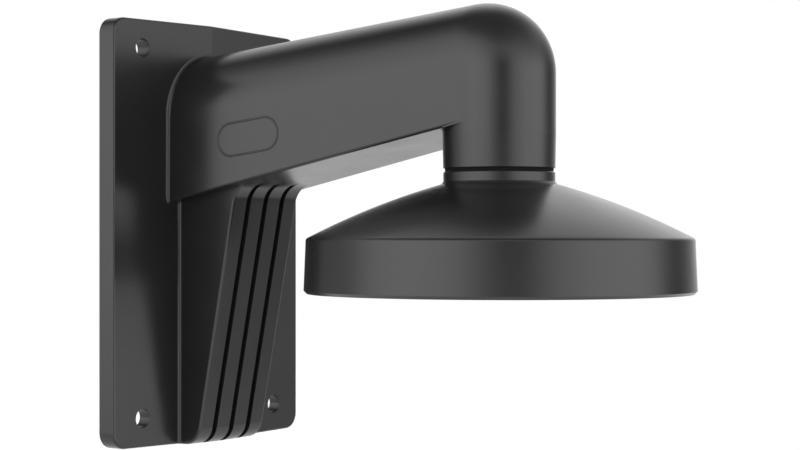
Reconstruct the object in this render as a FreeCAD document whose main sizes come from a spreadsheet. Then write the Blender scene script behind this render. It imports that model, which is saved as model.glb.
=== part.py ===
"""Camera wall bracket: a hollow cast arm on a wall plate, with a round cap for a dome camera under its spout.

The origin is the middle of the plate's back, in the plane of the wall. X runs along the plate's width,
+Y points into the wall and +Z points up, so the arm reaches out along -Y. All lengths are millimetres.
"""
import FreeCAD, Part
import math
import os
import Sketcher

Vector = FreeCAD.Vector
Rotation = FreeCAD.Rotation
Placement = FreeCAD.Placement

# Driving dimensions: name, size, what it measures
DRIVING = (
    ("plate_width", 120.2, "wall plate, side to side"),
    ("plate_height", 182.7, "wall plate, bottom to top at its sides"),
    ("plate_crown", 1.0, "how far the plate's top and bottom edges rise at the middle"),
    ("plate_side", 8.5, "depth of the plate at its sides"),
    ("plate_ridge", 9.6, "depth of the plate at the ridge down its middle"),
    ("plate_corner", 7.0, "radius of the plate's corners"),
    ("plate_edge", 1.0, "radius round the plate's front edge"),
    ("front_wall", 3.4, "thickness of the plate's front wall at its sides"),
    ("rim_wall", 4.0, "thickness of the plate's rim"),
    ("hole_in_side", 17.1, "wall holes, in from the plate's sides"),
    ("hole_in_end", 12.15, "wall holes, in from the plate's ends"),
    ("hole_bore", 8.3, "diameter of the wall holes"),
    ("boss_bore", 16.0, "diameter of the bosses round the wall holes"),
    ("boss_back_top", 1.6, "how far the upper bosses stay back from the wall"),
    ("boss_back_low", 2.9, "how far the lower bosses stay back from the wall"),
    ("rib_wall", 2.4, "thickness of the ribs behind the plate"),
    ("rib_back", 1.6, "how far the ribs stay back from the wall"),
    ("rib_height", 62.0, "height of the cross ribs above and below the plate's middle"),
    ("reach", 162.5, "wall to the axis of the spout"),
    ("arm_pitch", 7.2, "rise of the arm's axis, in degrees"),
    ("root_out", 5.9, "wall to the point on the arm's axis where its root is measured"),
    ("root_half", 28.0, "half the arm's width at its root"),
    ("floor_wall", 11.76, "height of the arm's underside, carried on to the wall"),
    ("floor_spout", 43.34, "height of the arm's underside at the spout's axis"),
    ("arm_corner", 1.2, "radius of the arm's lower edges"),
    ("root_round", 1.6, "radius where the arm meets the plate"),
    ("bend_height", 62.9, "height of the bend axis"),
    ("bend_inner", 5.8, "bend axis to the axis of the spout"),
    ("bend_bore", 44.8, "outer diameter of the bend"),
    ("spout_bore", 44.3, "outer diameter of the spout at its end"),
    ("spout_low", 25.6, "height of the spout's end face"),
    ("arm_wall", 3.5, "thickness of the arm's walls"),
    ("spout_floor", 11.0, "thickness of the screw flange in the spout"),
    ("cable_bore", 26.0, "diameter of the cable way through the spout, seal and cap"),
    ("foot_half", 20.8, "half the width of the foot under the arm"),
    ("foot_low", 19.6, "depth of the foot's sloping face at the plate's bottom edge"),
    ("foot_high", 42.2, "depth of the foot's face where it meets the arm's underside"),
    ("foot_round", 10.0, "radius of the hollow corner under the arm"),
    ("foot_toe", 9.0, "radius of the foot's lower front edge"),
    ("foot_edge", 0.8, "radius of the foot's two long front edges"),
    ("foot_root", 1.5, "radius where the foot meets the plate"),
    ("foot_wall", 3.4, "thickness of the foot's side walls"),
    ("groove_width", 2.9, "width of each groove in the foot's face"),
    ("groove_pitch", 11.0, "groove to groove"),
    ("groove_depth", 4.5, "depth of the grooves"),
    ("groove_wall", 2.8, "metal left behind the grooves"),
    ("seal_thick", 1.3, "thickness of the seal between the spout and the cap"),
    ("seal_inset", 0.7, "how far the seal stays in from the spout's side"),
    ("neck_bore", 44.2, "outer diameter of the cap's neck"),
    ("neck_tall", 4.85, "height of the cap's neck"),
    ("neck_edge", 0.6, "size of the bevel round the neck's upper edge"),
    ("neck_root", 0.8, "size of the bevel where the neck meets the cone"),
    ("cone_drop", 21.75, "height of the cone"),
    ("cone_crown", 288.0, "radius of the cone's crowned outline"),
    ("skirt_top", 76.45, "radius of the skirt's upper edge"),
    ("skirt_foot", 77.3, "radius of the skirt's lower edge"),
    ("skirt_tall", 21.55, "height of the skirt"),
    ("skirt_edge", 1.4, "radius round the skirt's upper edge"),
    ("rim_step", 1.2, "size of the bevel round the cap's rim"),
    ("cap_wall", 2.8, "thickness of the cap's walls"),
    ("flange_thick", 10.0, "thickness of the cap's screw flange"),
    ("flange_bore", 50.0, "diameter of the cap's screw flange"),
    ("screw_circle", 35.0, "diameter of the circle of cap screws"),
    ("screw_bore", 4.0, "diameter of the cap screws"),
    ("screw_grip", 8.0, "how far the cap screws reach into the spout"),
    ("screw_play", 0.1, "clearance round the screw's thread in the spout"),
    ("pass_play", 0.5, "clearance round the screws in the cap and the seal"),
    ("head_across", 7.0, "hexagon heads of the cap screws, across their flats"),
    ("head_tall", 2.8, "height of the screw heads"),
    ("camera_circle", 118.0, "diameter of the circle of camera screw posts"),
    ("post_bore", 9.0, "diameter of the camera screw posts"),
    ("post_hole", 3.3, "diameter of the tapped holes in the posts"),
    ("post_low", 6.0, "height of the posts' ends above the cap's rim"),
    ("post_hole_deep", 10.0, "depth of the tapped holes in the posts"),
    ("web_wall", 2.4, "thickness of the webs from the flange to the posts"),
    ("web_low", 16.0, "height of the webs' outer ends above the cap's rim"),
)
SCREWS = 3
SCREW_ANGLE = 30.0
POSTS = 3
POST_ANGLE = 90.0
CROWN_RUNS = 5
ARCH_RUNS = 8

doc = FreeCAD.newDocument("camera_wall_bracket")
sheet = doc.addObject("Spreadsheet::Sheet", "sheet")
sheet_rows = 0


class Size:
    """A length and the sheet formula that gives it, so a sketch is drawn and bound in one go."""

    def __init__(self, value, formula):
        self.value = float(value)
        self.formula = formula

    def __add__(self, other):
        other = as_size(other)
        return Size(self.value + other.value, "(%s + %s)" % (self.formula, other.formula))

    def __sub__(self, other):
        other = as_size(other)
        return Size(self.value - other.value, "(%s - %s)" % (self.formula, other.formula))

    def __mul__(self, other):
        other = as_size(other)
        return Size(self.value * other.value, "(%s * %s)" % (self.formula, other.formula))

    def __truediv__(self, other):
        other = as_size(other)
        return Size(self.value / other.value, "(%s / %s)" % (self.formula, other.formula))

    def __neg__(self):
        return Size(-self.value, "(0 - %s)" % self.formula)


def as_size(number):
    """A plain number as a Size."""
    return number if isinstance(number, Size) else Size(number, repr(float(number)))


def root(size):
    """The square root of a Size."""
    return Size(math.sqrt(size.value), "sqrt(%s)" % size.formula)


def write_cell(name, content, note):
    """Puts one named line into the sheet."""
    global sheet_rows
    sheet_rows += 1
    sheet.set("A%d" % sheet_rows, name)
    sheet.set("B%d" % sheet_rows, content)
    sheet.setAlias("B%d" % sheet_rows, name)
    sheet.set("C%d" % sheet_rows, note)


def derive(name, size, note):
    """Keeps a worked-out length in the sheet under its own name."""
    write_cell(name, "=" + size.formula.replace("sheet.", ""), note)
    return Size(size.value, "sheet." + name)


dim = {}
for driving_name, driving_size, driving_note in DRIVING:
    write_cell(driving_name, repr(driving_size), driving_note)
    dim[driving_name] = Size(driving_size, "sheet." + driving_name)
pitch_angle = math.radians(dim["arm_pitch"].value)
dim["pitch_sine"] = Size(math.sin(pitch_angle), "sin(sheet.arm_pitch)")
dim["pitch_cosine"] = Size(math.cos(pitch_angle), "cos(sheet.arm_pitch)")


def D(name):
    """The Size with this name."""
    return dim[name]


def bind(thing, prop, size):
    """Ties a property to the sheet."""
    thing.setExpression(prop, as_size(size).formula)


# Bodies and sketches
def new_body(label):
    """An empty body with its label."""
    body = doc.addObject("PartDesign::Body", label)
    body.Label = label
    return body


def plane(body, role):
    """One of the body's own origin planes."""
    return [item for item in body.Origin.OriginFeatures if item.Role == role][0]


def new_sketch(body, name, role, base=(0.0, 0.0, 0.0), tilt=None, spin=False):
    """A sketch on an origin plane, offset in the plane's axes, tilted about the first or spun in it."""
    sketch = body.newObject("Sketcher::SketchObject", name)
    sketch.AttachmentSupport = [(plane(body, role), "")]
    sketch.MapMode = "FlatFace"
    base = [as_size(item) for item in base]
    angle = tilt.value if tilt is not None else 0.0
    hinge = Vector(0, 0, 1) if spin else Vector(1, 0, 0)
    sketch.AttachmentOffset = Placement(Vector(*[item.value for item in base]), Rotation(hinge, angle))
    for axis, item in zip("xyz", base):
        if item.formula != "0.0":
            bind(sketch, "AttachmentOffset.Base." + axis, item)
    if tilt is not None:
        bind(sketch, "AttachmentOffset.Rotation.Angle", tilt)
    return sketch


def fix(sketch, kind, first, second, size):
    """A DistanceX, DistanceY, Radius or Diameter constraint tied to the sheet."""
    size = as_size(size)
    if kind in ("DistanceX", "DistanceY"):
        if size.formula == "0.0":
            axis = -2 if kind == "DistanceX" else -1
            sketch.addConstraint(Sketcher.Constraint("PointOnObject", first, second, axis))
            return
        index = sketch.addConstraint(Sketcher.Constraint(kind, -1, 1, first, second, size.value))
    else:
        index = sketch.addConstraint(Sketcher.Constraint(kind, first, size.value))
    bind(sketch, "Constraints[%d]" % index, size)


def flat(point):
    """A pair of Sizes as a vector in the sketch's plane."""
    return Vector(as_size(point[0]).value, as_size(point[1]).value, 0)


def small(number):
    """The number, or zero where it is only rounding."""
    return 0.0 if abs(number) < 1e-9 else number


def corner_arc(before, corner, after, radius):
    """The arc of this radius that rounds the corner between two straight runs, with its two ends."""
    back = (before - corner).normalize()
    ahead = (after - corner).normalize()
    half = back.getAngle(ahead) / 2
    start = corner + back * (radius / math.tan(half))
    end = corner + ahead * (radius / math.tan(half))
    centre = corner + (back + ahead).normalize() * (radius / math.sin(half))
    middle = centre + (corner - centre).normalize() * radius
    return Part.Arc(start, middle, end), start, end


def draw_outline(sketch, corners):
    """A closed outline of straight runs. Each corner is (x, y), or (x, y, radius) where it is rounded."""
    count = len(corners)
    points = [flat(corner) for corner in corners]
    starts, ends, arcs = [None] * count, [None] * count, [None] * count
    for index, corner in enumerate(corners):
        starts[index] = ends[index] = points[index]
        if len(corner) == 3:
            arc, arrive, leave = corner_arc(
                points[index - 1], points[index], points[(index + 1) % count], as_size(corner[2]).value)
            arcs[index] = arc
            ends[index], starts[index] = arrive, leave
    lines = []
    for index in range(count):
        run = Part.LineSegment(starts[index], ends[(index + 1) % count])
        lines.append(sketch.addGeometry(run, False))
    for index, corner in enumerate(corners):
        line_in, line_out = lines[index - 1], lines[index]
        if arcs[index] is None:
            sketch.addConstraint(Sketcher.Constraint("Coincident", line_in, 2, line_out, 1))
            fix(sketch, "DistanceX", line_out, 1, corner[0])
            fix(sketch, "DistanceY", line_out, 1, corner[1])
            continue
        arc = sketch.addGeometry(arcs[index], False)
        gaps = [(sketch.getPoint(arc, end) - ends[index]).Length for end in (1, 2)]
        near, far = (1, 2) if gaps[0] < gaps[1] else (2, 1)
        sketch.addConstraint(Sketcher.Constraint("Tangent", line_in, 2, arc, near))
        sketch.addConstraint(Sketcher.Constraint("Tangent", line_out, 1, arc, far))
        fix(sketch, "Radius", arc, None, corner[2])
        mark = sketch.addGeometry(Part.Point(points[index]), True)
        fix(sketch, "DistanceX", mark, 1, corner[0])
        fix(sketch, "DistanceY", mark, 1, corner[1])
        sketch.addConstraint(Sketcher.Constraint("PointOnObject", mark, 1, line_in))
        sketch.addConstraint(Sketcher.Constraint("PointOnObject", mark, 1, line_out))
    return sketch


def draw_circle(sketch, radius, x=0.0, y=0.0):
    """A circle tied to the sheet."""
    circle = sketch.addGeometry(Part.Circle(flat((x, y)), Vector(0, 0, 1), as_size(radius).value), False)
    fix(sketch, "DistanceX", circle, 3, x)
    fix(sketch, "DistanceY", circle, 3, y)
    fix(sketch, "Radius", circle, None, radius)
    return sketch


def draw_hood(sketch, half, centre):
    """The bend's section: a half circle over two upright sides that stand on the sketch's first axis."""
    half, centre = as_size(half), as_size(centre)
    top = Vector(0, centre.value, 0)
    crest = Part.ArcOfCircle(Part.Circle(top, Vector(0, 0, 1), half.value), 0, math.pi)
    arc = sketch.addGeometry(crest, False)
    corners = [Vector(half.value, centre.value, 0), Vector(half.value, 0, 0),
               Vector(-half.value, 0, 0), Vector(-half.value, centre.value, 0)]
    right, base, left = [
        sketch.addGeometry(Part.LineSegment(start, end), False) for start, end in zip(corners, corners[1:])]
    sketch.addConstraint(Sketcher.Constraint("PointOnObject", arc, 3, -2))
    fix(sketch, "DistanceY", arc, 3, centre)
    fix(sketch, "Radius", arc, None, half)
    sketch.addConstraint(Sketcher.Constraint("Horizontal", arc, 1, arc, 3))
    sketch.addConstraint(Sketcher.Constraint("Horizontal", arc, 2, arc, 3))
    sketch.addConstraint(Sketcher.Constraint("Coincident", right, 1, arc, 1))
    sketch.addConstraint(Sketcher.Constraint("Coincident", left, 2, arc, 2))
    sketch.addConstraint(Sketcher.Constraint("Coincident", right, 2, base, 1))
    sketch.addConstraint(Sketcher.Constraint("Coincident", base, 2, left, 1))
    sketch.addConstraint(Sketcher.Constraint("Vertical", right))
    sketch.addConstraint(Sketcher.Constraint("Vertical", left))
    sketch.addConstraint(Sketcher.Constraint("PointOnObject", base, 1, -1))
    sketch.addConstraint(Sketcher.Constraint("Horizontal", base))
    return sketch


def draw_arch(sketch, half, centre, floor):
    """The cable way's section: a flat floor, upright sides and a half circle in straight runs over them."""
    turns = [math.pi * step / ARCH_RUNS for step in range(ARCH_RUNS + 1)]
    over = [
        (half * small(math.cos(angle)), as_size(centre) + half * small(math.sin(angle))) for angle in turns]
    return draw_outline(sketch, [(half, floor)] + over + [(-half, floor)])


# Features
def pad(body, name, sketch, length, both=False, reverse=False):
    """Adds the sketch's area over a length."""
    feature = body.newObject("PartDesign::Pad", name)
    feature.Profile = sketch
    if both:
        feature.SideType = "Symmetric"
    feature.Reversed = reverse
    feature.Length = as_size(length).value
    bind(feature, "Length", length)
    doc.recompute()
    return feature


def cut(body, name, sketch, length, both=False, reverse=False):
    """Removes the sketch's area over a length."""
    before = body.Shape.Volume
    feature = body.newObject("PartDesign::Pocket", name)
    feature.Profile = sketch
    if both:
        feature.SideType = "Symmetric"
    feature.Reversed = reverse
    feature.Length = as_size(length).value
    bind(feature, "Length", length)
    doc.recompute()
    if not body.Shape.Volume < before - 0.01:
        raise RuntimeError("cut %s removes nothing" % name)
    return feature


def loft(body, name, sketches):
    """Adds a ruled loft through the sketches."""
    feature = body.newObject("PartDesign::AdditiveLoft", name)
    feature.Profile = sketches[0]
    feature.Sections = sketches[1:]
    feature.Ruled = True
    doc.recompute()
    return feature


def turn(body, name, sketch, axis, angle, both=False, reverse=False):
    """Adds the sketch's area turned about one of the sketch's own axes."""
    feature = body.newObject("PartDesign::Revolution", name)
    feature.Profile = sketch
    feature.ReferenceAxis = (sketch, [axis])
    feature.Midplane = both
    feature.Reversed = reverse
    feature.Angle = as_size(angle).value
    bind(feature, "Angle", angle)
    doc.recompute()
    return feature


def round_edges(body, name, test, radius):
    """Rounds the edges of the body's last feature that pass the test."""
    last = body.Tip
    picked = ["Edge%d" % (index + 1) for index, edge in enumerate(last.Shape.Edges) if test(edge)]
    if not picked:
        raise RuntimeError("no edge for " + name)
    feature = body.newObject("PartDesign::Fillet", name)
    feature.Base = (last, picked)
    feature.Radius = as_size(radius).value
    bind(feature, "Radius", radius)
    doc.recompute()
    return feature


def mirror(body, name):
    """The whole body so far, mirrored across the plate's middle."""
    feature = body.newObject("PartDesign::Mirrored", name)
    feature.TransformMode = "Whole shape"
    feature.MirrorPlane = (plane(body, "YZ_Plane"), [""])
    body.Tip = feature
    doc.recompute()
    return feature


def join(body, name, other):
    """Joins another body to this one."""
    feature = body.newObject("PartDesign::Boolean", name)
    feature.Type = 0
    feature.setObjects([other])
    doc.recompute()
    return feature


def inside(edge, low, high):
    """Whether the edge lies in the box between two corners; None leaves a side open."""
    box = edge.BoundBox
    spans = ((box.XMin, box.XMax), (box.YMin, box.YMax), (box.ZMin, box.ZMax))
    for (least, most), floor, ceiling in zip(spans, low, high):
        if floor is not None and least < floor:
            return False
        if ceiling is not None and most > ceiling:
            return False
    return True


# Lengths worked out from the driving ones
NEAR = 0.05
plate_half = D("plate_width") / 2
plate_half_height = D("plate_height") / 2
plate_top = plate_half_height + D("plate_crown")
spout_radius = D("spout_bore") / 2
bend_half = D("bend_bore") / 2
sine, cosine = D("pitch_sine"), D("pitch_cosine")
bend_out = derive("bend_out", D("reach") - D("bend_inner"), "wall to the bend axis")
axis_out = derive(
    "axis_out", bend_out - D("bend_inner") * sine, "wall to the end of the arm's axis, at the bend")
axis_height = derive(
    "axis_height", D("bend_height") + D("bend_inner") * cosine, "height of the end of the arm's axis")
arm_run = derive(
    "arm_run", (axis_out - D("root_out")) / cosine, "length of the arm's axis from its root to the bend")
arm_taper = derive(
    "arm_taper", (D("root_half") - bend_half) / arm_run, "growth of half the arm's width towards the wall")
floor_rise = derive(
    "floor_rise", (D("floor_spout") - D("floor_wall")) / D("reach"),
    "rise of the underside away from the wall")


def floor_height(out):
    """Height of the arm's underside at a distance from the wall."""
    return D("floor_wall") + floor_rise * out


def plate_front(across):
    """Depth of the plate's front face at a distance from its middle."""
    return D("plate_ridge") - (D("plate_ridge") - D("plate_side")) * across / plate_half


def crown_line(across):
    """Height of the plate's top edge above the middle, at a distance from its ridge."""
    return plate_top - D("plate_crown") * across / plate_half


foot_top = derive(
    "foot_top", floor_height(D("foot_high")), "height where the foot's face meets the underside")
foot_slope = derive(
    "foot_slope", (D("foot_high") - D("foot_low")) / (foot_top + plate_top), "lean of the foot's front face")
foot_lean = derive(
    "foot_lean", root(foot_slope * foot_slope + 1), "level depth of the foot's wall for each millimetre")
groove_back = derive("groove_back", D("groove_depth") * foot_lean, "depth of the grooves, measured level")
recess_deep = derive("recess_deep", D("plate_side") - D("front_wall"), "depth of the plate's open back")
neck_radius = D("neck_bore") / 2
neck_top = derive("neck_top", D("spout_low") - D("seal_thick"), "height of the cap's upper face")
neck_low = derive("neck_low", neck_top - D("neck_tall"), "height of the cone's upper end")
cone_low = derive("cone_low", neck_low - D("cone_drop"), "height of the cone's lower end")
rim_low = derive("rim_low", cone_low - D("skirt_tall"), "height of the cap's rim")
flange_low = derive("flange_low", neck_top - D("flange_thick"), "height of the flange's underside")
cone_run = D("skirt_top") - neck_radius
cone_chord = derive(
    "cone_chord", root(cone_run * cone_run + D("cone_drop") * D("cone_drop")), "length of the cone's side")
cone_back = derive(
    "cone_back", root(D("cone_crown") * D("cone_crown") - cone_chord * cone_chord / 4),
    "centre of the cone's crown to its side")
cone_x = derive(
    "cone_x", (D("skirt_top") + neck_radius) / 2 - cone_back * D("cone_drop") / cone_chord,
    "centre of the cone's crown, out from the axis")
cone_z = derive(
    "cone_z", (neck_low + cone_low) / 2 - cone_back * cone_run / cone_chord,
    "height of the centre of the cone's crown")


def cone_height(out, under):
    """Height of the cone at a distance from its axis, at a depth under its outer face."""
    radius = D("cone_crown") - under
    return cone_z + root(radius * radius - (out - cone_x) * (out - cone_x))


# The foot under the arm, a body of its own that is joined to the casting
foot = new_body("foot_block")
foot_over = D("foot_high") + D("foot_round") * 2
profile = draw_outline(new_sketch(foot, "foot_side", "YZ_Plane"), (
    (-D("front_wall"), -plate_top),
    (-D("foot_low"), -plate_top),
    (-D("foot_high"), foot_top, D("foot_round")),
    (-foot_over, floor_height(foot_over)),
    (-foot_over, floor_height(foot_over) + D("arm_wall") / 2),
    (-D("front_wall"), floor_height(D("front_wall")) + D("arm_wall") / 2)))
pad(foot, "foot_wedge", profile, D("foot_half") * 2, both=True)

flare_out = D("foot_half") + D("foot_root") * 2
flare_deep = plate_front(D("foot_half")) + D("foot_root") * 2
flare = draw_outline(new_sketch(foot, "foot_flare_section", "XY_Plane", (0.0, 0.0, -plate_top)), (
    (-flare_out, -D("front_wall")),
    (-flare_out, -plate_front(flare_out)),
    (-D("foot_half"), -plate_front(D("foot_half")), D("foot_root")),
    (-D("foot_half"), -flare_deep),
    (D("foot_half"), -flare_deep),
    (D("foot_half"), -plate_front(D("foot_half")), D("foot_root")),
    (flare_out, -plate_front(flare_out)),
    (flare_out, -D("front_wall"))))
pad(foot, "foot_flare", flare, plate_top + floor_height(D("front_wall")) + D("arm_wall") / 2)

crowned_end = draw_outline(new_sketch(foot, "foot_crown", "XZ_Plane"), (
    (-flare_out * 1.2, -crown_line(flare_out * 1.2)),
    (0.0, -plate_top),
    (flare_out * 1.2, -crown_line(flare_out * 1.2)),
    (flare_out * 1.2, -plate_top - D("foot_toe")),
    (-flare_out * 1.2, -plate_top - D("foot_toe"))))
cut(foot, "foot_crowned_end", crowned_end, foot_over * 2, reverse=True)

foot_low = D("foot_low").value
round_edges(
    foot, "foot_toe_round",
    lambda edge: inside(edge, (None, -foot_low - 0.6, None), (None, -foot_low + 0.6, 1 - plate_top.value)),
    D("foot_toe"))
half = D("foot_half").value
front_end = -plate_front(D("foot_half")).value - D("foot_root").value * 2
round_edges(
    foot, "foot_long_edges",
    lambda edge: edge.BoundBox.XLength < NEAR and abs(abs(edge.BoundBox.XMin) - half) < NEAR
    and edge.BoundBox.YMax < front_end and edge.BoundBox.ZLength > foot_top.value,
    D("foot_edge"))

# Grooves down the foot's face, parallel to it and round its toe
groove_end = D("foot_high") + D("foot_round")
groove_mouth = D("foot_high") * 1.6
for place in (-1, 0, 1):
    groove = draw_outline(
        new_sketch(foot, "groove_side_%d" % (place + 2), "YZ_Plane", (0.0, 0.0, D("groove_pitch") * place)), (
            (-plate_front(D("groove_pitch")) - D("foot_root"), -plate_top + D("groove_depth") / 2),
            (-D("foot_low") + groove_back, -plate_top + D("groove_depth") / 2, D("foot_toe") / 2),
            (-D("foot_high") + groove_back, foot_top, D("foot_round") + D("groove_depth")),
            (-groove_end, floor_height(groove_end)),
            (-groove_mouth, foot_top - D("foot_round")),
            (-groove_mouth, -plate_top - D("foot_toe")),
            (-plate_front(D("groove_pitch")) - D("foot_root"), -plate_top - D("foot_toe"))))
    cut(foot, "groove_%d" % (place + 2), groove, D("groove_width"), both=True)


# The straight arm, made in two lengths
def add_arm(body, name, back, front):
    """The arm between two distances from the wall, or to the bend where front is None.

    It has upright sides under a half cone, both growing towards the wall."""
    far = arm_run + D("root_out") * 3
    wide = bend_half + arm_taper * far
    plan = draw_outline(
        new_sketch(body, name + "_plan", "XY_Plane", (0.0, -axis_out, axis_height), -D("arm_pitch")), (
            (-bend_half, 0.0), (bend_half, 0.0), (wide, far), (-wide, far)))
    pad(body, name + "_sides", plan, axis_height, reverse=True)
    crest = new_sketch(
        body, name + "_crest", "YZ_Plane", (-axis_out, axis_height, 0.0), -D("arm_pitch"), spin=True)
    draw_outline(crest, ((0.0, 0.0), (far, 0.0), (far, wide), (0.0, bend_half)))
    turn(body, name + "_cone", crest, "H_Axis", 180, both=True)
    low, high = -axis_height, axis_height + D("bend_bore")
    behind_wall = D("root_out") * 4
    past_end = D("reach") * 1.2
    trim = draw_outline(new_sketch(body, name + "_floor", "YZ_Plane"), (
        (-back, high), (-back, floor_height(back)), (-past_end, floor_height(past_end)),
        (-past_end, low), (behind_wall, low), (behind_wall, high)))
    cut(body, name + "_trim", trim, wide * 2, both=True)
    if front is not None:
        beyond = draw_outline(new_sketch(body, name + "_end", "YZ_Plane"), (
            (-front, low), (-front, high), (-past_end, high), (-past_end, low)))
        cut(body, name + "_end_cut", beyond, wide * 2, both=True)


def round_floor(body, name):
    """Rounds the two long lower edges of the arm."""
    def on_floor(edge):
        ends = [vertex.Point for vertex in edge.Vertexes]
        level = all(abs(end.z - floor_height(as_size(-end.y)).value) < NEAR for end in ends)
        return level and edge.BoundBox.YLength > NEAR and edge.BoundBox.XLength < bend_half.value
    return round_edges(body, name, on_floor, D("arm_corner"))


# The casting: plate, arm, bend and spout
casting = new_body("bracket_casting")
plate_middle = D("plate_side") / 2 + D("front_wall") / 2
root_front = D("plate_ridge") + D("root_round") * 2
half_outline = draw_outline(new_sketch(casting, "plate_outline", "XZ_Plane"), (
    (0.0, -plate_top), (plate_half, -plate_half_height), (plate_half, plate_half_height), (0.0, plate_top)))
pad(casting, "plate", half_outline, D("plate_ridge"))
facet_out = plate_half * 1.1
facet = draw_outline(new_sketch(casting, "facet_section", "XY_Plane"), (
    (0.0, -D("plate_ridge")), (facet_out, -plate_front(facet_out)),
    (facet_out, -D("plate_ridge") * 1.1), (0.0, -D("plate_ridge") * 1.1)))
cut(casting, "facet", facet, plate_top * 2.2, both=True)
plate_side = D("plate_side").value
plate_edge_in = plate_half.value - D("plate_corner").value - NEAR
height_edge_in = plate_half_height.value - D("plate_corner").value - NEAR
round_edges(
    casting, "plate_corners",
    lambda edge: edge.BoundBox.YLength > 1 and edge.BoundBox.XMin > plate_half.value - NEAR,
    D("plate_corner"))


def on_front_edge(edge):
    """Whether the edge runs round the front of the plate."""
    box = edge.BoundBox
    at_end = box.ZMin > height_edge_in or box.ZMax < -height_edge_in
    return box.YMax < -plate_side + NEAR and (box.XMin > plate_edge_in or at_end)


round_edges(casting, "plate_front_edge", on_front_edge, D("plate_edge"))

root_stub = new_body("arm_root")
add_arm(root_stub, "root", plate_middle, root_front)
round_floor(root_stub, "root_floor_edges")
join(casting, "plate_with_root", root_stub)

# Only the right half is kept while the root is rounded, because the plate's ridge parts the rounding in two
left_side = draw_outline(new_sketch(casting, "left_side", "YZ_Plane"), (
    (D("plate_ridge"), -plate_top * 1.1), (D("plate_ridge"), plate_top * 1.1),
    (-root_front * 2, plate_top * 1.1), (-root_front * 2, -plate_top * 1.1)))
cut(casting, "right_half", left_side, D("plate_width"))
root_reach = D("root_half").value * 1.1
ridge = D("plate_ridge").value
root_floor_height = floor_height(D("plate_side")).value
round_edges(
    casting, "arm_root_round",
    lambda edge: inside(edge, (-NEAR, -ridge - NEAR, root_floor_height - 1), (root_reach, -plate_side, None))
    and edge.BoundBox.ZMin < height_edge_in and edge.BoundBox.XLength > NEAR,
    D("root_round"))
mirror(casting, "both_halves")

# The rest of the arm with its bend and spout
heel = new_body("arm_heel")
heel_in = bend_out - D("bend_inner")
heel_side = draw_outline(new_sketch(heel, "heel_side", "YZ_Plane"), (
    (-heel_in, D("bend_height")), (-D("reach"), D("bend_height")),
    (-D("reach"), D("floor_spout")), (-heel_in, floor_height(heel_in))))
pad(heel, "heel_block", heel_side, D("bend_bore"), both=True)
arm = new_body("arm_and_spout")
add_arm(arm, "arm", root_front, None)
round_floor(arm, "arm_floor_edges")
join(arm, "arm_with_heel", heel)
bend_profile = draw_hood(
    new_sketch(arm, "bend_section", "XY_Plane", (0.0, -bend_out, D("bend_height")), Size(180, "180")),
    bend_half, D("bend_inner"))
turn(arm, "bend", bend_profile, "H_Axis", D("arm_pitch") + 90, reverse=True)
spout_profile = draw_outline(new_sketch(arm, "spout_section", "YZ_Plane", (-D("reach"), 0.0, 0.0)), (
    (0.0, D("spout_low")), (spout_radius, D("spout_low")),
    (bend_half, D("floor_spout") - D("arm_corner") * 4),
    (bend_half, D("bend_height")), (0.0, D("bend_height"))))
turn(arm, "spout", spout_profile, "V_Axis", 360)
join(casting, "casting_with_arm", arm)
join(casting, "casting_with_foot", foot)

# The casting's hollows, one body that is cut from it: open back, cable way and the foot's inside
core = new_body("casting_core")
recess_half = plate_half - D("rim_wall")
recess_half_height = plate_half_height - D("rim_wall")
recess_corner = D("plate_corner") - D("rim_wall")
behind = D("front_wall")
recess = draw_outline(new_sketch(core, "back_recess", "XZ_Plane", (0.0, 0.0, -behind)), (
    (-recess_half, -recess_half_height, recess_corner), (recess_half, -recess_half_height, recess_corner),
    (recess_half, recess_half_height, recess_corner), (-recess_half, recess_half_height, recess_corner)))
pad(core, "plate_back", recess, recess_deep + behind)


def draw_bar(sketch, left, right, low, high):
    """A rectangle between four sides."""
    return draw_outline(sketch, ((left, low), (right, low), (right, high), (left, high)))


hole_x = plate_half - D("hole_in_side")
hole_z = plate_half_height - D("hole_in_end")
half_rib = D("rib_wall") / 2
for end, back, name in ((1, D("boss_back_top"), "upper"), (-1, D("boss_back_low"), "lower")):
    bosses = new_sketch(core, "bosses_" + name, "XZ_Plane", (0.0, 0.0, back))
    for side in (-1, 1):
        draw_circle(bosses, D("boss_bore") / 2, hole_x * side, hole_z * end)
    cut(core, "boss_pads_" + name, bosses, recess_deep, reverse=True)
side_ribs = new_sketch(core, "side_ribs", "XZ_Plane", (0.0, 0.0, D("boss_back_low")))
cross_ribs = new_sketch(core, "cross_ribs", "XZ_Plane", (0.0, 0.0, D("rib_back")))
for end in (-1, 1):
    beside = hole_z * end
    for side in (-1, 1):
        draw_bar(side_ribs, hole_x * side, plate_half * side, beside - half_rib, beside + half_rib)
    middle = D("rib_height") * end / 2
    draw_bar(cross_ribs, -plate_half, plate_half, middle - half_rib, middle + half_rib)
cut(core, "side_rib_pads", side_ribs, recess_deep, reverse=True)
cut(core, "cross_rib_pads", cross_ribs, recess_deep, reverse=True)

duct_radius = bend_half - D("arm_wall")
duct_wide = D("root_half") - D("arm_wall")
root_height = derive("root_height", axis_height - arm_run * sine, "height of the arm's axis at its root")


def duct_floor(out, height):
    """Depth of the cable way's floor under a point of the arm's axis, square to the axis."""
    return (height - floor_height(out) - D("arm_wall")) / (cosine + floor_rise * sine)


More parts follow.
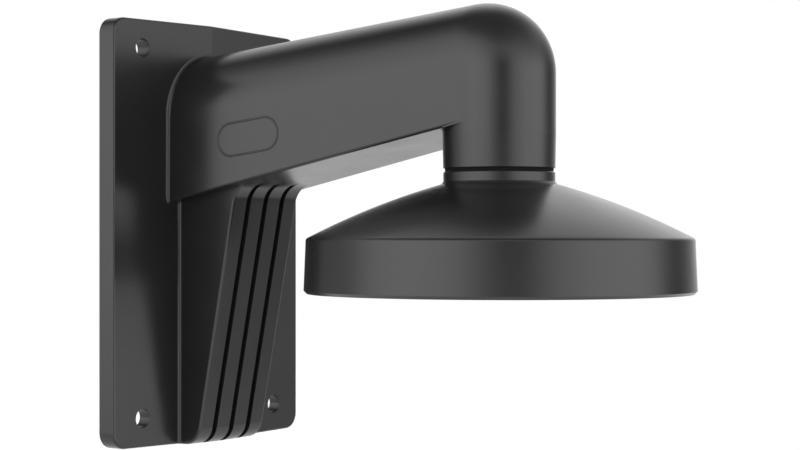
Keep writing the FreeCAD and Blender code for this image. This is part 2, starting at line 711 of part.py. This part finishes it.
root_floor = duct_floor(D("root_out"), root_height)
duct_start, duct_mouth = [
    draw_arch(new_sketch(core, name, "XZ_Plane", (0.0, root_height, D("root_out")), -D("arm_pitch")),
              duct_wide, 0.0, -root_floor)
    for name in ("duct_start", "duct_mouth_section")]
duct_end = draw_arch(
    new_sketch(core, "duct_end", "XZ_Plane", (0.0, axis_height, axis_out), -D("arm_pitch")),
    duct_radius, 0.0, -duct_floor(axis_out, axis_height))
loft(core, "arm_duct", [duct_start, duct_end])
pad(core, "duct_mouth", duct_mouth, D("root_out") * 2, reverse=True)
bend_hollow = draw_arch(
    new_sketch(core, "duct_bend_section", "XY_Plane", (0.0, -bend_out, D("bend_height")), Size(180, "180")),
    duct_radius, D("bend_inner"), 0.0)
turn(core, "bend_duct", bend_hollow, "H_Axis", D("arm_pitch") + 90, reverse=True)
flange_top = D("spout_low") + D("spout_floor")
spout_hollow = draw_circle(
    new_sketch(core, "spout_duct_circle", "XY_Plane", (0.0, -D("reach"), flange_top)),
    duct_radius * math.cos(math.pi / ARCH_RUNS / 2))
pad(core, "spout_duct", spout_hollow, D("bend_height") - flange_top)
cable_circle = draw_circle(
    new_sketch(core, "cable_circle", "XY_Plane", (0.0, -D("reach"), D("spout_low") - D("seal_thick"))),
    D("cable_bore") / 2)
pad(core, "cable_way", cable_circle, D("spout_floor") + D("seal_thick") * 2)
foot_in = D("foot_half") - D("foot_wall")
foot_behind = (D("groove_depth") + D("groove_wall")) * foot_lean
foot_hollow = draw_outline(new_sketch(core, "foot_hollow_side", "YZ_Plane"), (
    (behind, -plate_top + D("foot_toe")),
    (-D("foot_low") + foot_behind, -plate_top + D("foot_toe")),
    (-D("foot_high") + foot_behind, floor_height(D("foot_high") - foot_behind) - D("foot_wall")),
    (behind, floor_height(-behind) - D("foot_wall"))))
pad(core, "foot_hollow", foot_hollow, foot_in * 2, both=True)

hollowed = casting.newObject("PartDesign::Boolean", "casting_hollowed")
hollowed.Type = 1
hollowed.setObjects([core])
doc.recompute()

# Wall holes and the holes for the cap screws
wall_holes = new_sketch(casting, "wall_holes", "XZ_Plane")
for end in (-1, 1):
    for side in (-1, 1):
        draw_circle(wall_holes, D("hole_bore") / 2, hole_x * side, hole_z * end)
cut(casting, "wall_hole_cuts", wall_holes, D("plate_ridge") * 2, reverse=True)
screw_radius = D("screw_circle") / 2


def ring_points(count, first):
    """The unit directions of count points round a circle, the first at this angle in degrees."""
    angles = [math.radians(first + 360.0 * index / count) for index in range(count)]
    return [(small(math.cos(angle)), small(math.sin(angle))) for angle in angles]


def draw_ring(sketch, points, circle_radius, radius):
    """Circles of one radius on a larger circle, in one sketch."""
    for across, along in points:
        draw_circle(sketch, radius, circle_radius * across, circle_radius * along)
    return sketch


screw_holes = draw_ring(
    new_sketch(casting, "screw_holes", "XY_Plane", (0.0, -D("reach"), D("spout_low"))),
    ring_points(SCREWS, SCREW_ANGLE), screw_radius, (D("screw_bore") + D("screw_play")) / 2)
cut(casting, "screw_hole_cuts", screw_holes, D("screw_grip") + 1, reverse=True)

# The cap, drawn about its own axis: neck, crowned cone, skirt and screw flange
cap = new_body("pendant_cap")
cable_radius = D("cable_bore") / 2
flange_radius = D("flange_bore") / 2
inner_top = D("skirt_top") - D("cap_wall")
edge = D("skirt_edge")
crown_in = neck_radius + D("neck_root")
crown_step = (D("skirt_top") - edge * 0.535 - crown_in) / CROWN_RUNS
crown = [crown_in + crown_step * index for index in range(CROWN_RUNS + 1)]
skirt_lean = (D("skirt_foot") - D("skirt_top")) / D("skirt_tall")
cap_outline = draw_outline(new_sketch(cap, "cap_outline", "YZ_Plane"), [
    (cable_radius, neck_top),
    (neck_radius - D("neck_edge"), neck_top),
    (neck_radius, neck_top - D("neck_edge")),
    (neck_radius, neck_low + D("neck_root"))] + [(out, cone_height(out, as_size(0.0))) for out in crown] + [
    (D("skirt_top") - edge * 0.246, cone_low + edge * 0.048),
    (D("skirt_top") - edge * 0.049, cone_low - edge * 0.249),
    (D("skirt_top") + skirt_lean * edge * 0.592, cone_low - edge * 0.592),
    (D("skirt_foot"), rim_low + D("rim_step")),
    (D("skirt_foot") - D("rim_step"), rim_low),
    (D("skirt_foot") - D("cap_wall"), rim_low),
    (inner_top, cone_height(inner_top, D("cap_wall"))),
    (flange_radius, cone_height(flange_radius, D("cap_wall"))),
    (flange_radius, flange_low),
    (cable_radius, flange_low)])
turn(cap, "cap_shell", cap_outline, "V_Axis", 360)

pass_holes = draw_ring(
    new_sketch(cap, "pass_holes", "XY_Plane", (0.0, 0.0, neck_top)), ring_points(SCREWS, SCREW_ANGLE),
    screw_radius, (D("screw_bore") + D("pass_play")) / 2)
cut(cap, "pass_hole_cuts", pass_holes, D("flange_thick"))

# Posts for the camera's screws, each tied to the flange by a web
post_radius = D("camera_circle") / 2
post_end = rim_low + D("post_low")
post_top = cone_height(post_radius + D("post_bore") / 2, D("cap_wall") / 2)
posts = draw_ring(
    new_sketch(cap, "posts", "XY_Plane", (0.0, 0.0, post_end)), ring_points(POSTS, POST_ANGLE),
    post_radius, D("post_bore") / 2)
pad(cap, "post_pads", posts, post_top - post_end)
web_in = flange_radius - D("cap_wall")
web = draw_outline(new_sketch(cap, "web_side", "YZ_Plane"), (
    (web_in, cone_height(web_in, D("cap_wall") / 2) - D("cap_wall") / 2),
    (post_radius, cone_height(post_radius, D("cap_wall") / 2) - D("cap_wall") / 2),
    (post_radius, rim_low + D("web_low")),
    (web_in, flange_low)))
web_pad = pad(cap, "web_pad", web, D("web_wall"), both=True)
webs = cap.newObject("PartDesign::PolarPattern", "webs")
webs.Originals = [web_pad]
webs.Axis = (web, ["V_Axis"])
webs.Angle = 360
webs.Occurrences = POSTS
cap.Tip = webs
doc.recompute()
post_holes = draw_ring(
    new_sketch(cap, "post_holes", "XY_Plane", (0.0, 0.0, post_end)), ring_points(POSTS, POST_ANGLE),
    post_radius, D("post_hole") / 2)
cut(cap, "post_hole_cuts", post_holes, D("post_hole_deep"), reverse=True)
cap.Placement = Placement(Vector(0, -D("reach").value, 0), Rotation())
bind(cap, "Placement.Base.y", -D("reach"))

# The seal between the spout and the cap
seal = new_body("neck_seal")
seal_ring = new_sketch(seal, "seal_ring", "XY_Plane", (0.0, 0.0, neck_top))
draw_circle(seal_ring, spout_radius - D("seal_inset"))
draw_circle(seal_ring, cable_radius)
pad(seal, "seal_pad", seal_ring, D("seal_thick"))
seal_holes = draw_ring(
    new_sketch(seal, "seal_holes", "XY_Plane", (0.0, 0.0, neck_top)), ring_points(SCREWS, SCREW_ANGLE),
    screw_radius, (D("screw_bore") + D("pass_play")) / 2)
cut(seal, "seal_hole_cuts", seal_holes, D("seal_thick"), reverse=True)
seal.Placement = Placement(Vector(0, -D("reach").value, 0), Rotation())
bind(seal, "Placement.Base.y", -D("reach"))


# Hexagon screws, as primitives round the spout's axis
def set_sizes(thing, sizes, x, y, z):
    """Gives a primitive its sizes and its place, tied to the sheet."""
    for prop, size in sizes.items():
        setattr(thing, prop, size.value)
        bind(thing, prop, size)
    thing.Placement = Placement(Vector(x.value, y.value, z.value), Rotation())
    for axis, size in zip("xyz", (x, y, z)):
        bind(thing, "Placement.Base." + axis, size)


head_low = flange_low - D("head_tall")
screw_long = D("spout_low") + D("screw_grip") - flange_low
screws = []
for index, (across, along) in enumerate(ring_points(SCREWS, SCREW_ANGLE)):
    x = screw_radius * across
    y = screw_radius * along - D("reach")
    shank = doc.addObject("Part::Cylinder", "shank_%d" % (index + 1))
    head = doc.addObject("Part::Prism", "head_%d" % (index + 1))
    head.Polygon = 6
    set_sizes(shank, {"Radius": D("screw_bore") / 2, "Height": screw_long}, x, y, flange_low)
    across_corners = D("head_across") / root(as_size(3))
    set_sizes(head, {"Circumradius": across_corners, "Height": D("head_tall")}, x, y, head_low)
    screw = doc.addObject("Part::Fuse", "screw_%d" % (index + 1))
    screw.Base, screw.Tool = head, shank
    screws.append(screw)
screw_group = doc.addObject("Part::Compound", "cap_screws")
screw_group.Links = screws

# Checks every object, then writes one file for each piece
doc.recompute()
for item in doc.Objects:
    if any(word in ("Invalid", "Error") for word in item.State):
        raise RuntimeError("%s failed: %s" % (item.Name, item.State))
pieces = [casting, cap, seal, screw_group]
os.makedirs("parts", exist_ok=True)
for item in pieces:
    if item.Shape.isNull() or not item.Shape.isValid():
        raise RuntimeError("%s has no valid shape" % item.Label)
for item in pieces:
    item.Shape.exportStep("parts/%s.step" % item.Label)
    print(item.Label, len(item.Shape.Solids), "solids", round(item.Shape.Volume), "mm3")
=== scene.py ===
"""Looks of the camera wall bracket: black powder-coated castings, a rubber seal and steel screws."""
import bpy
import math
import numpy as np
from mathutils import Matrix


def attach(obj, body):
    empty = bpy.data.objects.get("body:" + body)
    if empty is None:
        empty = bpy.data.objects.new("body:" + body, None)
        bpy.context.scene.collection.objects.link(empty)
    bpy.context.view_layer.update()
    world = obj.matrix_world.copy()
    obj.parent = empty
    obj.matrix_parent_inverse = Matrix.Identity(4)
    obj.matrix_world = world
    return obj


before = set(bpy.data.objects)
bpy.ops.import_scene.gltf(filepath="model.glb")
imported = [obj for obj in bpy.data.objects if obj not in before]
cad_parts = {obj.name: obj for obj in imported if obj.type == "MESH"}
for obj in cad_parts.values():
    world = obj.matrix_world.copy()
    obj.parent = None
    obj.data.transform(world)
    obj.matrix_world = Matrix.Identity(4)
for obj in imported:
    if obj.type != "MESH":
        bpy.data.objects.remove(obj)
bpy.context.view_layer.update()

MM = 0.001


# Materials
def linear(hex_colour):
    """An sRGB hex colour as linear RGBA.

    Each channel c becomes c / 12.92 up to 0.04045, and ((c + 0.055) / 1.055)^2.4 above."""
    channels = np.array([int(hex_colour[i:i + 2], 16) for i in (1, 3, 5)]) / 255
    low = channels / 12.92
    high = ((channels + 0.055) / 1.055) ** 2.4
    return (*np.where(channels <= 0.04045, low, high), 1.0)


def add_node(tree, kind, values=None, links=None, **settings):
    """Adds a shader node with its settings, socket values and incoming links."""
    new = tree.nodes.new("ShaderNode" + kind)
    for name, value in settings.items():
        setattr(new, name, value)
    for socket, value in (values or {}).items():
        new.inputs[socket].default_value = value
    for socket, source in (links or {}).items():
        tree.links.new(source, new.inputs[socket])
    return new


def new_material(name):
    """A material with its node tree, empty but for the output node, which is the third value."""
    material = bpy.data.materials.new(name)
    material.use_nodes = True
    material.node_tree.nodes.clear()
    return material, material.node_tree, add_node(material.node_tree, "OutputMaterial")


# Satin black polyester powder coat, sprayed and baked on die-cast aluminium: it flows out to a soft sheen,
# whose tone drifts a little over 30 mm, with an orange peel about 0.8 mm from crest to crest, drawn shallow
# because it barely shows at this distance.
powder_coat, tree, out = new_material("satin_black_powder_coat")
place = add_node(tree, "TexCoord")
mottle = add_node(tree, "TexNoise", {"Scale": 35.0, "Detail": 3.0}, {"Vector": place.outputs["Object"]})
coat_colour = add_node(
    tree, "Mix", {"A": linear("#1B1B1B"), "B": linear("#202020")}, {"Factor": mottle.outputs["Fac"]},
    data_type="RGBA")
coat_rough = add_node(
    tree, "MapRange", {"From Min": 0.3, "From Max": 0.7, "To Min": 0.23, "To Max": 0.28},
    {"Value": mottle.outputs["Fac"]})
peel = add_node(tree, "TexNoise", {"Scale": 1250.0, "Detail": 2.0}, {"Vector": place.outputs["Object"]})
peel_bump = add_node(
    tree, "Bump", {"Strength": 0.25, "Distance": 0.02 * MM}, {"Height": peel.outputs["Fac"]})
coat = add_node(
    tree, "BsdfPrincipled", {"IOR": 1.5},
    {"Base Color": coat_colour.outputs["Result"], "Roughness": coat_rough.outputs["Result"],
     "Normal": peel_bump.outputs["Normal"]})
tree.links.new(coat.outputs["BSDF"], out.inputs["Surface"])

# Moulded EPDM rubber of the seal: dull, with a grain of about 1 mm that is drawn coarser than the real one so
# that it can show. It hardly shines, and its colour, darker than the coat's, is partly the rubber's own black
# and partly painted shade of the narrow recessed gap that it sits in.
seal_rubber, tree, out = new_material("moulded_epdm_rubber")
place = add_node(tree, "TexCoord")
grain = add_node(tree, "TexNoise", {"Scale": 900.0, "Detail": 3.0}, {"Vector": place.outputs["Object"]})
grain_bump = add_node(
    tree, "Bump", {"Strength": 0.3, "Distance": 0.03 * MM}, {"Height": grain.outputs["Fac"]})
# Near-black colour: the rubber's own black, drawn darker still as painted shade of the recessed gap
rubber_black_and_gap_shade = add_node(
    tree, "Mix", {"A": linear("#090909"), "B": linear("#0F0F0F")}, {"Factor": grain.outputs["Fac"]},
    data_type="RGBA")
rubber = add_node(
    tree, "BsdfPrincipled", {"Roughness": 0.8, "IOR": 1.5, "Specular IOR Level": 0.15},
    {"Base Color": rubber_black_and_gap_shade.outputs["Result"], "Normal": grain_bump.outputs["Normal"]})
tree.links.new(rubber.outputs["BSDF"], out.inputs["Surface"])

# Stainless steel of the hexagon screws: turned and tumbled, so bright, with short fine scratches under half a
# millimetre apart.
screw_steel, tree, out = new_material("turned_stainless_steel")
place = add_node(tree, "TexCoord")
scratch = add_node(tree, "TexNoise", {"Scale": 2200.0, "Detail": 2.0}, {"Vector": place.outputs["Object"]})
steel_rough = add_node(
    tree, "MapRange", {"To Min": 0.24, "To Max": 0.4}, {"Value": scratch.outputs["Fac"]})
scratch_bump = add_node(
    tree, "Bump", {"Strength": 0.2, "Distance": 0.01 * MM}, {"Height": scratch.outputs["Fac"]})
steel = add_node(
    tree, "BsdfPrincipled", {"Base Color": linear("#B9B8B4"), "Metallic": 1.0},
    {"Roughness": steel_rough.outputs["Result"], "Normal": scratch_bump.outputs["Normal"]})
tree.links.new(steel.outputs["BSDF"], out.inputs["Surface"])

FINISH = {"bracket_casting": powder_coat, "pendant_cap": powder_coat, "neck_seal": seal_rubber,
          "cap_screws": screw_steel}
for name, finish in FINISH.items():
    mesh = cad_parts[name].data
    mesh.materials.clear()
    mesh.materials.append(finish)


# Surfaces. Lengths are in millimetres until they go into a mesh.
SHARP_FROM = math.radians(40)


def closed_mesh(name, points, finish):
    """A piece over a grid of points (u, v, 3) that closes on itself in u and in v.

    Its faces point outwards where u crossed with v does."""
    rows, columns = points.shape[:2]
    index = np.arange(rows * columns).reshape(rows, columns)
    next_u = np.roll(index, -1, axis=0)
    next_v = np.roll(index, -1, axis=1)
    quads = np.stack([index, next_u, np.roll(next_u, -1, axis=1), next_v], -1).reshape(-1, 4)
    mesh = bpy.data.meshes.new(name)
    mesh.from_pydata(points.reshape(-1, 3).tolist(), [], quads.tolist())
    mesh.shade_smooth()
    mesh.set_sharp_from_angle(angle=SHARP_FROM)
    mesh.materials.append(finish)
    piece = bpy.data.objects.new(name, mesh)
    bpy.context.scene.collection.objects.link(piece)
    return piece


# The arm's left side, as part.py makes it: flat, and slanting in as the arm narrows. Its points are given as
# the way out from the wall and the height.
PITCH = math.radians(7.2)
AXIS_END = np.array([155.973, 68.654])
ALONG = np.array([math.cos(PITCH), math.sin(PITCH)])
BEND_HALF = 22.4
TAPER = 0.03702

# The obround frame on that side: the centres and the radius of its ends, and its line's section
LABEL_LEFT = np.array([44.3, 39.5])
LABEL_RIGHT = np.array([62.6, 41.6])
LABEL_RADIUS = 6.9
LINE_WIDTH = 0.9
LINE_PROUD = 0.35
LINE_DEPTH = 0.3
END_POINTS = 25
SECTION_POINTS = 9


def on_arm_side(out, height, proud):
    """A point on the arm's left side: x = -(BEND_HALF + TAPER t) - proud, t being the way back from the bend
    along the arm's axis."""
    t = (AXIS_END[0] - out) * ALONG[0] + (AXIS_END[1] - height) * ALONG[1]
    return np.stack([-BEND_HALF - TAPER * t - proud, -out, height], -1) * MM


def frame_line():
    """A raised line round an obround: two straight runs joined by half circles.

    The path's ends are centre + radius (-up cos u + ahead sin u) and its opposite. The section is a low half
    ellipse, (width / 2 cos v, proud sin v) across the line and out of the arm's side, closed by a straight run
    a little inside the casting."""
    run = LABEL_RIGHT - LABEL_LEFT
    ahead = run / np.linalg.norm(run)
    up = np.array([-ahead[1], ahead[0]])
    u = np.linspace(0, math.pi, END_POINTS)[:, None]
    half_circle = np.cos(u) * -up + np.sin(u) * ahead
    outward = np.vstack([half_circle, -half_circle])
    path = np.vstack([LABEL_RIGHT + LABEL_RADIUS * half_circle, LABEL_LEFT - LABEL_RADIUS * half_circle])
    v = np.linspace(0, math.pi, SECTION_POINTS)
    across = np.concatenate([LINE_WIDTH / 2 * np.cos(v), [-LINE_WIDTH / 2, LINE_WIDTH / 2]])
    rise = np.concatenate([LINE_PROUD * np.sin(v), [-LINE_DEPTH, -LINE_DEPTH]])
    line = path[:, None] + outward[:, None] * across[None, :, None]
    return on_arm_side(line[..., 0], line[..., 1], rise[None, :])


label_frame = closed_mesh("label_frame", frame_line(), powder_coat)
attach(label_frame, "root")

# The cap's crown and upper edge as one smooth skin of coat, where the cap under it is turned in short cones.
# CAP_OUT is the cap's axis, out from the wall. Points are given as the way out from that axis and the height,
# and angles as the way the outline faces, in degrees from straight up.
CAP_OUT = 162.5
CROWN_CENTRE = np.array([-57.174, -257.425])
CROWN_RADIUS = 288.0
EDGE_CENTRE = np.array([75.083, -3.164])
EDGE_RADIUS = 1.4
CROWN_START = 16.15
CROWN_END = 27.482
SKIRT_FACING = 87.741
SKIN_LIFT = 0.03
SKIN_DEPTH = 0.4
RING_STEPS = 240


def crown_outline(lift, crown_points, edge_points):
    """The cap's outline at a lift over its metal: centre + (radius + lift) (sin a, cos a), a being the way it
    faces, first round the crown's centre, then round the edge's, then 1 mm down the skirt."""
    facing = np.radians(np.linspace(CROWN_START, CROWN_END, crown_points, endpoint=False))[:, None]
    crown = CROWN_CENTRE + (CROWN_RADIUS + lift) * np.hstack([np.sin(facing), np.cos(facing)])
    facing = np.radians(np.linspace(CROWN_END, SKIRT_FACING, edge_points))[:, None]
    edge = EDGE_CENTRE + (EDGE_RADIUS + lift) * np.hstack([np.sin(facing), np.cos(facing)])
    down = np.array([[math.cos(facing[-1, 0]), -math.sin(facing[-1, 0])]])
    return np.vstack([crown, edge, edge[-1:] + down])


def turned_ring(outline):
    """The outline carried round the cap's axis: (r cos b, r sin b - CAP_OUT, height), r being the way out from
    the axis and b going round the circle."""
    turn = np.linspace(0, 2 * math.pi, RING_STEPS, endpoint=False)[:, None]
    radius, height = outline[:, 0], outline[:, 1]
    return np.stack([radius * np.cos(turn), radius * np.sin(turn) - CAP_OUT, height + 0 * turn], -1) * MM


skin_outline = np.vstack([
    crown_outline(SKIN_LIFT, crown_points=24, edge_points=8)[::-1],
    crown_outline(-SKIN_DEPTH, crown_points=4, edge_points=3)])
crown_skin = closed_mesh("crown_skin", turned_ring(skin_outline), powder_coat)
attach(crown_skin, "root")

# Camera at the photograph's place: level, and 52.5 degrees round from the front
camera_data = bpy.data.cameras.new("camera")
camera_data.sensor_width = 36.0
camera_data.lens = 82.656
camera_data.shift_x = 0.0375
camera_data.shift_y = 0.01243
camera = bpy.data.objects.new("camera", camera_data)
camera.location = (-0.60729, -0.56342, -0.00075)
camera.rotation_euler = (math.radians(90), 0, math.radians(-52.545))
bpy.context.scene.collection.objects.link(camera)
bpy.context.scene.camera = camera

# Studio: soft lights left and right of the camera, white behind the object, a dim ceiling. Mirror rays see
# the soft lights and not the white, because the photograph's coat mirrors dark gaps between them.
# TOWARDS_CAMERA is the way from the object to the camera, round from +x. Each row of LIGHT_ROWS has its
# height in degrees and its marks: degrees round from the camera's side, right positive, and the level there.
TOWARDS_CAMERA = math.radians(217.455)
LIGHT_TOP = 3.0
LIGHT_ROWS = (
    (-18, ((-180, 0.57), (-140, 0.60), (-100, 0.95), (-60, 1.61), (-20, 1.54), (20, 1.60), (60, 1.87),
           (90, 1.32), (108, 0.14), (130, 0.25), (155, 0.47))),
    (5, ((-180, 0.81), (-165, 0.38), (-150, 0.12), (-135, 0.26), (-118, 0.28), (-99, 0.67), (-80, 2.31),
         (-55, 2.86), (-28, 2.36), (-12, 0.81), (0, 0.00), (12, 0.24), (26, 1.73), (50, 2.66), (80, 2.50),
         (92, 2.01), (100, 1.16), (108, 0.37), (120, 0.11), (135, 0.36), (148, 0.66), (158, 1.18),
         (168, 1.33))),
    (35, ((-180, 1.62), (-135, 0.12), (-90, 1.55), (-45, 1.86), (0, 1.13), (45, 1.37), (90, 0.89),
          (135, 0.87))),
    (54, ((-180, 1.16), (-135, 0.00), (-90, 0.26), (-45, 0.48), (0, 0.27), (45, 0.48), (90, 0.38),
          (135, 0.42))),
    (72, ((-180, 0.17),)),
)
world = bpy.data.worlds.new("studio")
bpy.context.scene.world = world
world.use_nodes = True
tree = world.node_tree
tree.nodes.clear()
sky = add_node(tree, "TexCoord")
turned = add_node(
    tree, "VectorRotate", {"Axis": (0, 0, 1), "Angle": -TOWARDS_CAMERA},
    {"Vector": sky.outputs["Generated"]}, rotation_type="AXIS_ANGLE")
parts = add_node(tree, "SeparateXYZ", None, {"Vector": turned.outputs["Vector"]})
round_angle = add_node(
    tree, "Math", None, {0: parts.outputs["Y"], 1: parts.outputs["X"]}, operation="ARCTAN2")
round_share = add_node(
    tree, "MapRange", {"From Min": -math.pi, "From Max": math.pi}, {"Value": round_angle.outputs["Value"]})
sky_height = add_node(tree, "Math", None, {0: parts.outputs["Z"]}, operation="ARCSINE")
row_lights = []
for _, marks in LIGHT_ROWS:
    ramp = add_node(tree, "ValToRGB", None, {"Fac": round_share.outputs["Result"]})
    stops = ramp.color_ramp.elements
    stops.remove(stops[0])
    for count, (degrees_round, level) in enumerate(marks + ((180, marks[0][1]),)):
        share = (degrees_round + 180) / 360
        stop = stops[0] if count == 0 else stops.new(share)
        stop.position = share
        stop.color = (level / LIGHT_TOP, level / LIGHT_TOP, level / LIGHT_TOP, 1)
    row_lights.append(ramp.outputs["Color"])
light = row_lights[0]
for (degrees_below, _), (degrees_above, _), light_above in zip(LIGHT_ROWS, LIGHT_ROWS[1:], row_lights[1:]):
    risen = add_node(
        tree, "MapRange", {"From Min": math.radians(degrees_below), "From Max": math.radians(degrees_above)},
        {"Value": sky_height.outputs["Value"]})
    mixed = add_node(
        tree, "Mix", None, {"Factor": risen.outputs["Result"], "A": light, "B": light_above},
        data_type="RGBA")
    light = mixed.outputs["Result"]
lit = add_node(tree, "Background", {"Strength": LIGHT_TOP}, {"Color": light})
white = add_node(tree, "Background", {"Color": linear("#FFFFFF"), "Strength": 1.0})
ray = add_node(tree, "LightPath")
seen = add_node(
    tree, "Math", None, {0: ray.outputs["Is Camera Ray"], 1: ray.outputs["Is Transmission Ray"]},
    operation="MAXIMUM")
lit_or_white = add_node(
    tree, "MixShader", None,
    {0: seen.outputs["Value"], 1: lit.outputs["Background"], 2: white.outputs["Background"]})
add_node(tree, "OutputWorld", None, {"Surface": lit_or_white.outputs["Shader"]})

# Pale studio floor well under the bracket and behind it: its glow lifts it to white for what sees it, and it
# keeps the shadow. Seen from below it is clear, so that the cap's inside can be looked at.
FLOOR_LOW = -0.3
FLOOR_FRONT, FLOOR_BACK, FLOOR_LEFT, FLOOR_RIGHT = -0.36, 2.5, -1.5, 2.5
FLOOR_GLOW = 0.35
floor_paint, tree, out = new_material("pale_studio_floor")
ray = add_node(tree, "LightPath")
seen = add_node(
    tree, "Math", None, {0: ray.outputs["Is Camera Ray"], 1: ray.outputs["Is Glossy Ray"]},
    operation="MAXIMUM")
seen = add_node(
    tree, "Math", None, {0: seen.outputs["Value"], 1: ray.outputs["Is Transmission Ray"]},
    operation="MAXIMUM")
glow_level = add_node(tree, "Math", {1: FLOOR_GLOW}, {0: seen.outputs["Value"]}, operation="MULTIPLY")
glow = add_node(tree, "Emission", {"Color": linear("#FFFFFF")}, {"Strength": glow_level.outputs["Value"]})
matt = add_node(tree, "BsdfDiffuse", {"Color": linear("#F2F2F2")})
painted = add_node(tree, "AddShader", None, {0: matt.outputs["BSDF"], 1: glow.outputs["Emission"]})
clear = add_node(tree, "BsdfTransparent")
side = add_node(tree, "NewGeometry")
one_way = add_node(
    tree, "MixShader", None,
    {0: side.outputs["Backfacing"], 1: painted.outputs["Shader"], 2: clear.outputs["BSDF"]})
tree.links.new(one_way.outputs["Shader"], out.inputs["Surface"])
floor_mesh = bpy.data.meshes.new("floor")
floor_mesh.from_pydata(
    [(FLOOR_LEFT, FLOOR_FRONT, FLOOR_LOW), (FLOOR_RIGHT, FLOOR_FRONT, FLOOR_LOW),
     (FLOOR_RIGHT, FLOOR_BACK, FLOOR_LOW), (FLOOR_LEFT, FLOOR_BACK, FLOOR_LOW)], [], [(0, 1, 2, 3)])
floor_mesh.materials.append(floor_paint)
floor = bpy.data.objects.new("floor", floor_mesh)
bpy.context.scene.collection.objects.link(floor)

bpy.context.scene.view_settings.view_transform = "Standard"
